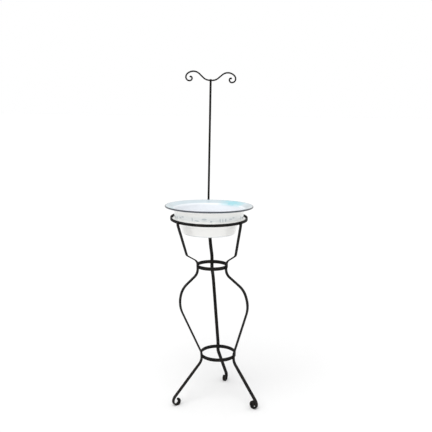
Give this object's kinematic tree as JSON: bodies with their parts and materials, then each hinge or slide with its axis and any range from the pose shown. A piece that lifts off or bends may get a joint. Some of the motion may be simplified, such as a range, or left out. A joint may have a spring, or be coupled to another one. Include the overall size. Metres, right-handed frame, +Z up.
{
  "type": "wash basin stand",
  "caption": "Three-legged wrought-iron wash basin stand: bent flat-bar legs with scroll feet riveted to flat hoops, a rod with a curled towel bar, and a lift-out enamel basin",
  "frame": {"origin": "on the floor, under the middle of the bounding box", "axes": "+Z up, the front of the stand towards -Y, +X to the right as seen from the front"},
  "size_m": [0.4059, 0.3937, 1.4182],
  "materials": {
    "iron": "blackened wrought iron, satin, with hammer marks",
    "enamel": "white vitreous enamel on steel, glossy, dark blue-grey rolled rim"
  },
  "bodies": {
    "stand": {"leg_left": "iron", "leg_right": "iron", "leg_back": "iron", "lower_hoop": "iron", "waist_hoop": "iron", "basin_hoop": "iron", "lower_hoop_rivets": "iron", "waist_hoop_rivets": "iron", "basin_hoop_rivets": "iron", "towel_rod": "iron", "rod_rivets": "iron", "towel_scroll": "iron"},
    "basin": {"basin_shell": "enamel"}
  },
  "joints": [
    {"name": "basin_lift", "type": "slide", "parent": "stand", "child": "basin", "axis": [0, 0, 1], "range_m": [0, 0.12]}
  ]
}
